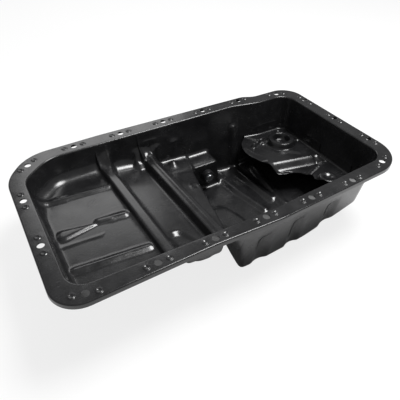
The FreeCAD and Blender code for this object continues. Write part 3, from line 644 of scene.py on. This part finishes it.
def dip_coat(name, black, worn, shine):
    """Black dip coat on pressed steel: near-black colour with paler, thinner patches,
    long waves from the press, orange peel, grains of dust caught in it and hairline
    scuffs from handling that show duller."""
    coat = new_material(name)
    place = add_node(coat, "ShaderNodeTexCoord")["Object"]
    patches = noise(coat, place, 22, 4.0, 0.6)
    peel = noise(coat, place, 2.4, 2.0)
    grain = noise(coat, place, 0.5, 2.0)
    waves = noise(coat, place, 16, 1.0)
    dust = add_node(coat, "ShaderNodeTexVoronoi", {"Vector": place, "Scale": 1 / (4.5 * MM)})[0]
    dust = mapped(coat, dust, 0.09, 0.03)
    along = add_node(coat, "ShaderNodeMapping", {"Vector": place, "Rotation": (0.3, 0.2, 0.9),
                                                 "Scale": (1.0, 9.0, 3.0)})[0]
    scuffs = worked(coat, "SUBTRACT", noise(coat, along, 60, 3.0), 0.5)
    scuffs = mapped(coat, worked(coat, "ABSOLUTE", scuffs), 0.0016, 0.0004)
    scuffs = worked(coat, "MULTIPLY", scuffs, patches)

    colour = mixed(coat, mapped(coat, patches, 0.35, 0.75), linear(black), linear(worn))
    colour = mixed(coat, worked(coat, "MULTIPLY", scuffs, 0.35), colour, linear("#5a5b5e"))
    rough = mapped(coat, patches, 0.25, 0.75, shine - 0.05, shine + 0.09)
    rough = worked(coat, "MULTIPLY_ADD", scuffs, 0.25, rough)

    bump = None
    for height, depth in ((waves, 0.06), (peel, 0.016), (grain, 0.0022), (dust, 0.035)):
        inputs = {"Height": height, "Distance": depth * MM, "Strength": 1.0}
        if bump is not None:
            inputs["Normal"] = bump
        bump = add_node(coat, "ShaderNodeBump", inputs)[0]
    return finished(coat, colour, rough, bump)


# Near-black satin coat: it lets the bends shine and keeps the flats dark.
pan_coat = dip_coat("satin_black_dip_coat", "#161617", "#222223", 0.21)
pan.data.materials.append(pan_coat)
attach(pan, "root")
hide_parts("pan_shell")


# Sump baffle
# A sheet of 1.2 mm steel, pressed to a raised ring, a tapered channel and a round boss,
# with tabs turned up and spot-welded to the sump's walls. It calms the oil over the
# deep sump, and it is dipped in the same black coat as the pan.
baffle_sheet = 1.2
baffle_level = 48.0
baffle_gap = 0.2
tab_top, upturn = 61.6, 2.0
tab_bend = 2.6
free_edge_corners = [(138.0, -89.0), (137.0, -64.0), (131.5, -51.0), (138.0, -38.0), (140.5, -27.0),
                     (139.0, -18.5), (122.0, -7.0), (110.0, -3.0), (103.0, 18.0), (95.0, 44.0),
                     (94.0, 58.0), (100.0, 72.0), (113.5, 87.5)]
ring_place, ring_radius, ring_dish, ring_height = (151.5, 46.5), 21.5, 12.5, 7.0
boss_place, boss_radius, boss_height, boss_dent = (144.5, -56.0), 16.5, 9.0, 8.0
# The low step round the raised ring follows these lines.
step_lines = [((118, 48), (141, 26)), ((141, 26), (149, 8)), ((149, 8), (183, 17))]
# Knobs pressed beside the welds, as (x, y, radius, height)
baffle_knobs = [(121, 61, 3.6, 2.4), (126.5, 56.5, 3.4, 2.2), (112, 56, 3.0, 1.6), (176.5, 39, 4.5, 2.2),
                (180, 17, 4.0, 2.4), (180, 9, 3.4, 2.0), (166, 72, 4.0, 2.0)]


def even_line(corners, count, soft):
    """Points evenly along an open line of straight runs, its corners rounded by
    averaging each point with its neighbours within soft."""
    corners = np.array(corners)
    along = np.concatenate([[0], np.cumsum(np.linalg.norm(np.diff(corners, axis=0), axis=1))])
    even = np.linspace(0, along[-1], count)
    line = np.stack([np.interp(even, along, corners[:, 0]), np.interp(even, along, corners[:, 1])], 1)
    reach = int(soft / (even[1] - even[0]))
    ends = [np.repeat(line[i:i + 1], reach, 0) for i in (0, count - 1)]
    padded = np.vstack([ends[0], line, ends[1]])
    rounded = sum(padded[i:i + count] for i in range(2 * reach + 1)) / (2 * reach + 1)
    fade = ease(np.minimum(np.arange(count), count - 1 - np.arange(count)) / (reach + 1))[:, None]
    return line + (rounded - line) * fade


def step_up(distance, height, soft):
    """A pressed step of a given height, soft wide, that begins where distance is 0."""
    return height * ease(distance / soft)


def baffle_relief(x, y, from_edge):
    """Height of the forms pressed into the baffle, over its flat."""
    away = np.hypot(x - ring_place[0], y - ring_place[1])
    height = step_up(ring_radius - away, ring_height, 4.0)
    height -= step_up(ring_dish - away, ring_height + 1.0, 3.4)
    inside_step = np.minimum.reduce([
        ((x1 - x0) * (y - y0) - (y1 - y0) * (x - x0)) / math.hypot(x1 - x0, y1 - y0)
        for (x0, y0), (x1, y1) in step_lines])
    height += step_up(inside_step + 3.5, 1.1, 7.0)
    # stiffening bead and knobs where the tabs meet the walls
    height += raised(x, y, [(110, 56.5, 4.0), (132, 65, 5.5)], 4.2, 4.2)
    for knob_x, knob_y, radius, high in baffle_knobs:
        height += step_up(radius - np.hypot(x - knob_x, y - knob_y), high, radius)
    # round boss with a dent on its top
    away = np.hypot(x - boss_place[0], y - boss_place[1])
    height += step_up(boss_radius - away, boss_height, 7.0) - step_up(boss_dent - away, 1.7, 6.0)
    # tapered channel, open at the free edge
    height += raised(x, y, [(168.5, -12.6, 13.5), (112.0, -16.0, 29.5)], -8.0, 15.0)
    # rolled lip along the free edge behind the channel, and its curl at the channel's mouth
    rolled = step_up(8.0 - from_edge, 2.6, 8.0) * ease((y - 14) / 12) * ease((62 - y) / 14)
    curled = step_up(4.0 - from_edge, 2.2, 4.0) * ease((8 - abs(y + 4)) / 6)
    return height - rolled - curled


baffle_columns, baffle_rows, tab_bend_rows, tab_rows = 300, 92, 5, 7
crease_depth = ((flange_level - baffle_level) * math.tan(draft) + baffle_gap
                + baffle_sheet / math.cos(draft))
crease_ring = rim - ring_normals(rim) * crease_depth
crease_from = np.where(crease_ring[:, 1] < 0, free_edge_corners[0][0], free_edge_corners[-1][0])
crease = even_line(crease_ring[crease_ring[:, 0] > crease_from], baffle_columns, 1.0)
along = np.gradient(crease, axis=0)
crease_out = np.stack([along[:, 1], -along[:, 0]], 1) / np.linalg.norm(along, axis=1)[:, None]
bend_run = tab_bend * math.tan((math.pi / 2 - draft) / 2)
bend_start = crease - crease_out * bend_run
edge_line = even_line([bend_start[0] - [0.5, 0]] + free_edge_corners[1:-1] + [bend_start[-1] - [0.5, 0]],
                      baffle_columns, 5.0)
share = np.linspace(0, 1, baffle_rows)[:, None, None]
flat = edge_line + (bend_start - edge_line) * share
from_edge = np.linalg.norm(flat - edge_line, axis=2)
from_wall = np.linalg.norm(flat - bend_start, axis=2)
level = baffle_level + baffle_relief(flat[..., 0], flat[..., 1], from_edge) * ease(from_wall / 3.0)
flat = np.concatenate([flat, level[..., None]], 2)

# Tabs stand along the front wall, at two places on the end wall and, growing slowly
# from the free edge, along the back wall. Their ends slope over tab_slope.
x, y = crease.T
tab_slope, side_wall, end_wall, side_tabs_end = 2, 60, 170, 171
end_tabs, back_tab_start, back_tab_growth = ((-59, -32), (-1, 21)), 116, 20
beside = ease((side_tabs_end - x) / tab_slope)
tab_share = np.maximum.reduce([
    (y < -side_wall) * beside,
    (y > side_wall) * beside * np.clip((x - back_tab_start) / back_tab_growth, 0, 1),
    *((x > end_wall) * ease((y - first) / tab_slope) * ease((last - y) / tab_slope)
      for first, last in end_tabs)])
top = baffle_level + upturn + (tab_top - baffle_level - upturn) * tab_share
turn = np.linspace(0, math.pi / 2 - draft, tab_bend_rows + 1)[1:]
bend_out, bend_up = tab_bend * np.sin(turn), tab_bend * (1 - np.cos(turn))
rows = [np.column_stack([bend_start + crease_out * out, np.full(len(crease), baffle_level + rise)])
        for out, rise in zip(bend_out, bend_up)]
for part in np.linspace(0, 1, tab_rows + 1)[1:]:
    up = bend_up[-1] + (top - baffle_level - bend_up[-1]) * part
    out = bend_out[-1] + (up - bend_up[-1]) * math.tan(draft)
    rows.append(np.column_stack([bend_start + crease_out * out[:, None], baffle_level + up]))
grid = np.concatenate([flat, np.stack(rows)])
numbers = np.arange(grid.shape[0] * grid.shape[1]).reshape(grid.shape[:2])
faces = np.stack([numbers[:-1, :-1], numbers[1:, :-1], numbers[1:, 1:], numbers[:-1, 1:]], 2)
faces = faces.reshape(-1, 4)
border = np.concatenate([numbers[0], numbers[1:, -1], numbers[-1, -2::-1], numbers[-2:0:-1, 0]])
points, faces = sheet_metal(grid.reshape(-1, 3), faces, [border], baffle_sheet)
baffle = new_piece("baffle_sheet", points, faces)
# The same coat as the pan, pooled a little thicker: the ring and channel catch light.
baffle.data.materials.append(dip_coat("baffle_dip_coat", "#121213", "#1c1c1d", 0.19))
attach(baffle, "root")
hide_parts("sump_baffle")


# Drain nut
# A round steel weld nut with an M12 thread, welded behind the drain hole on the inner
# side of the pocket's face before the pan is dipped, so it is black as the pan is.
drain_x, drain_z = 36.0, 23.0
thread_pitch, thread_depth = 1.25, 0.75
nut_from, nut_to, nut_outer, nut_bore = 54.0, 62.0, 9.0, 6.1
turned_columns = 72


def turned(name, rows, closed):
    """A piece turned about the drain plug's axis. Each row is (y, radius), where both may
    also change round the turn, or (y, radius, lean) on a thread, which is shifted by its
    lean in one turn. closed joins the last row to the first, for a piece with a hole;
    else the end rows close to points on the axis."""
    turn = np.linspace(0, 2 * math.pi, turned_columns, endpoint=False)
    grid = []
    for y, radius, *lean in rows:
        along = y + sum(lean) * turn / (2 * math.pi)
        grid.append(np.stack([drain_x + radius * np.cos(turn), along, drain_z + radius * np.sin(turn)], 1))
    numbers = np.arange(len(rows) * turned_columns).reshape(-1, turned_columns)
    if closed:
        numbers = np.vstack([numbers, numbers[:1]])
    else:
        numbers[0], numbers[-1] = numbers[0, 0], numbers[-1, 0]
    return new_piece(name, np.vstack(grid), strip(numbers), 35.0)


def thread(start, end, crest, root):
    """Rows along the roots and crests of a thread from start to end, with the lean that
    makes it a helix. It begins and ends at the root."""
    turns = int((end - start) / thread_pitch) - 1
    first = start + (end - start - turns * thread_pitch) / 2
    return [(first + (i - 0.5 + share) * thread_pitch, crest if on_crest else root, thread_pitch)
            for i in range(turns)
            for share, on_crest in ((0.0, False), (0.15, False), (0.45, True), (0.6, True), (0.9, False))]


nut_rows = [
    (nut_from + 0.9, nut_bore),
    *thread(nut_from + 0.9, nut_to - 0.9, nut_bore, nut_bore + thread_depth),
    (nut_to - 0.9, nut_bore), (nut_to, nut_bore + 0.9), (nut_to, nut_outer - 0.6),
    (nut_to - 0.8, nut_outer), (nut_from + 1.0, nut_outer), (nut_from + 0.3, nut_outer - 0.3),
    (nut_from, nut_outer - 1.0), (nut_from, nut_bore + 0.9)]
nut = turned("weld_nut", nut_rows, True)
# The coat is thinner on the machined nut, so its edges look a little paler.
nut.data.materials.append(dip_coat("nut_dip_coat", "#101011", "#232325", 0.27))
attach(nut, "root")
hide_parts("drain_nut")


# Drain washer
# A flat ring of soft copper, punched from sheet and crushed between the plug's flange
# and the pocket's face to seal the hole.
washer_from, washer_to, washer_inner, washer_outer = 63.5, 65.0, 6.2, 10.0
washer_rows = [
    (washer_to - 0.25, washer_inner), (washer_to, washer_inner + 0.25),
    (washer_to, washer_outer - 0.35), (washer_to - 0.35, washer_outer),
    (washer_from + 0.35, washer_outer), (washer_from, washer_outer - 0.35),
    (washer_from, washer_inner + 0.25), (washer_from + 0.25, washer_inner)]
washer = turned("copper_washer", washer_rows, True)


def bare_metal(name, bright, dull, low, high, groove_size, groove_depth):
    """Metal with its own finish: brighter and duller patches, fine grooves that run
    round the turned piece, pits, and a roughness that follows the patches."""
    metal = new_material(name)
    place = add_node(metal, "ShaderNodeTexCoord")["Object"]
    patches = noise(metal, place, 3, 4.0)
    pits = noise(metal, place, 0.35, 2.0)
    squeezed = add_node(metal, "ShaderNodeMapping", {"Vector": place, "Scale": (0.15, 1.0, 0.15)})[0]
    grooves = noise(metal, squeezed, groove_size, 3.0)
    colour = mixed(metal, mapped(metal, patches, 0.35, 0.7), linear(bright), linear(dull))
    rough = mapped(metal, patches, 0.3, 0.7, low, high)
    bump = add_node(metal, "ShaderNodeBump", {"Height": grooves, "Distance": groove_depth * MM})[0]
    bump = add_node(metal, "ShaderNodeBump", {"Height": pits, "Distance": 0.006 * MM, "Normal": bump})[0]
    return finished(metal, colour, rough, bump, 1.0)


# Copper gone slightly brown: a warm line between the black face and the bright head.
copper = bare_metal("soft_copper", "#d9946b", "#a5603f", 0.28, 0.48, 0.6, 0.01)
washer.data.materials.append(copper)
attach(washer, "root")
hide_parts("drain_washer")


# Drain plug
# A forged and turned steel plug, zinc-plated: hex head 14 mm across with a chamfered
# top, a round flange under it and an M12 thread whose end shows inside the nut.
plug_end, head_from, flange_to, head_to = 51.5, 65.0, 66.5, 72.0
plug_radius, flange_radius, head_across = 6.0, 9.5, 14.0
turn = np.linspace(0, 2 * math.pi, turned_columns, endpoint=False)
hexagon = head_across / 2 / np.cos((turn + math.pi / 6) % (math.pi / 3) - math.pi / 6)
hexagon = np.roll(hexagon, turned_columns // 12)
plug_root = plug_radius - thread_depth
plug_rows = [
    (head_to, 0), (head_to - 0.05, head_across / 2 - 0.4),
    (head_to - 0.3 - (hexagon - head_across / 2) * 0.55, hexagon), (flange_to + 0.2, hexagon),
    (flange_to, flange_radius - 0.5), (flange_to - 0.4, flange_radius), (head_from + 0.3, flange_radius),
    (head_from, flange_radius - 0.3), (head_from, plug_radius - 0.2), (head_from - 0.8, plug_root),
    *thread(plug_end + 0.9, head_from - 1.2, plug_radius, plug_root)[::-1],
    (plug_end + 0.9, plug_root), (plug_end, plug_radius - 1.4), (plug_end, 0)]
plug = turned("drain_plug_turned", plug_rows, False)
# Zinc plating: pale bluish grey, between satin and bright, with faint turning marks.
zinc = bare_metal("zinc_plated_steel", "#b9bbbd", "#8c8e91", 0.25, 0.42, 0.4, 0.012)
plug.data.materials.append(zinc)
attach(plug, "root")
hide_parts("drain_plug")


# The CAD's own pieces
# They take the same finishes, so that they look right wherever they are shown.
for node, finish in (("pan_shell", pan_coat), ("sump_baffle", pan_coat), ("drain_nut", pan_coat),
                     ("drain_washer", copper), ("drain_plug", zinc)):
    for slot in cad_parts[node].material_slots:
        slot.material = finish


# Floor
# A sheet of white paper, much larger than the pan. It is shown close to white and keeps
# the pan's soft shadow.
floor_size, floor_level = 12000.0, -0.05
corners = np.array([(-1, -1, 0), (1, -1, 0), (1, 1, 0), (-1, 1, 0)]) * floor_size / 2
floor = new_piece("paper_floor", corners + [0, 0, floor_level], np.array([[0, 1, 2, 3]]))
paper = new_material("white_paper")
place = add_node(paper, "ShaderNodeTexCoord")["Object"]
fibres = noise(paper, place, 0.8, 3.0)
tone = mixed(paper, fibres, linear("#f6f6f6"), linear("#fbfbfb"))
bump = add_node(paper, "ShaderNodeBump", {"Height": fibres, "Distance": 0.02 * MM})[0]
matt = add_node(paper, "ShaderNodeBsdfPrincipled", {"Base Color": tone, "Roughness": 0.9,
                                                    "Normal": bump})[0]
# what the camera sees of it is mostly an even glow, which keeps it close to white
glow = add_node(paper, "ShaderNodeEmission", {"Color": (1, 1, 1, 1), "Strength": 1.0})[0]
seen = add_node(paper, "ShaderNodeLightPath")["Is Camera Ray"]
share = worked(paper, "MULTIPLY", seen, 0.80)
shader = add_node(paper, "ShaderNodeMixShader", {0: share, 1: matt, 2: glow})[0]
add_node(paper, "ShaderNodeOutputMaterial", {"Surface": shader})
floor.data.materials.append(paper)


# Light
# A studio tent: plain white light from all round, a bright soft box overhead to the
# right, whose reflection lies on the bends that lean towards the camera, and a dim
# panel low behind the pan, which the floors and the far flange mirror.
tent_level = 0.30
world = bpy.data.worlds.new("studio_tent")
bpy.context.scene.world = world
world.use_nodes = True
world.node_tree.nodes.clear()
seen = add_node(world, "ShaderNodeLightPath")["Is Camera Ray"]
white = add_node(world, "ShaderNodeBackground", {"Color": (1, 1, 1, 1), "Strength": 1.0})[0]
tent = add_node(world, "ShaderNodeBackground", {"Color": (1, 1, 1, 1), "Strength": tent_level})[0]
shader = add_node(world, "ShaderNodeMixShader", {0: seen, 1: tent, 2: white})[0]
add_node(world, "ShaderNodeOutputWorld", {"Surface": shader})

# Each lamp as (name, place, what it points at, width, height, watts)
lamps = [("soft_box_overhead", (0.44, -0.10, 1.20), (0.0, 0.0, 0.05), 0.50, 0.50, 20.0),
         ("panel_behind", (0.20, 1.20, 0.90), (-0.1, 0.0, 0.05), 0.76, 0.62, 3.4)]
for name, place, target, width, height, power in lamps:
    box = bpy.data.lights.new(name, "AREA")
    box.shape = "RECTANGLE"
    box.size = width
    box.size_y = height
    box.energy = power
    lamp = bpy.data.objects.new(name, box)
    lamp.location = place
    lamp.rotation_euler = (Vector(target) - Vector(place)).to_track_quat("-Z", "Y").to_euler()
    bpy.context.scene.collection.objects.link(lamp)
bpy.context.scene.view_settings.view_transform = "Standard"
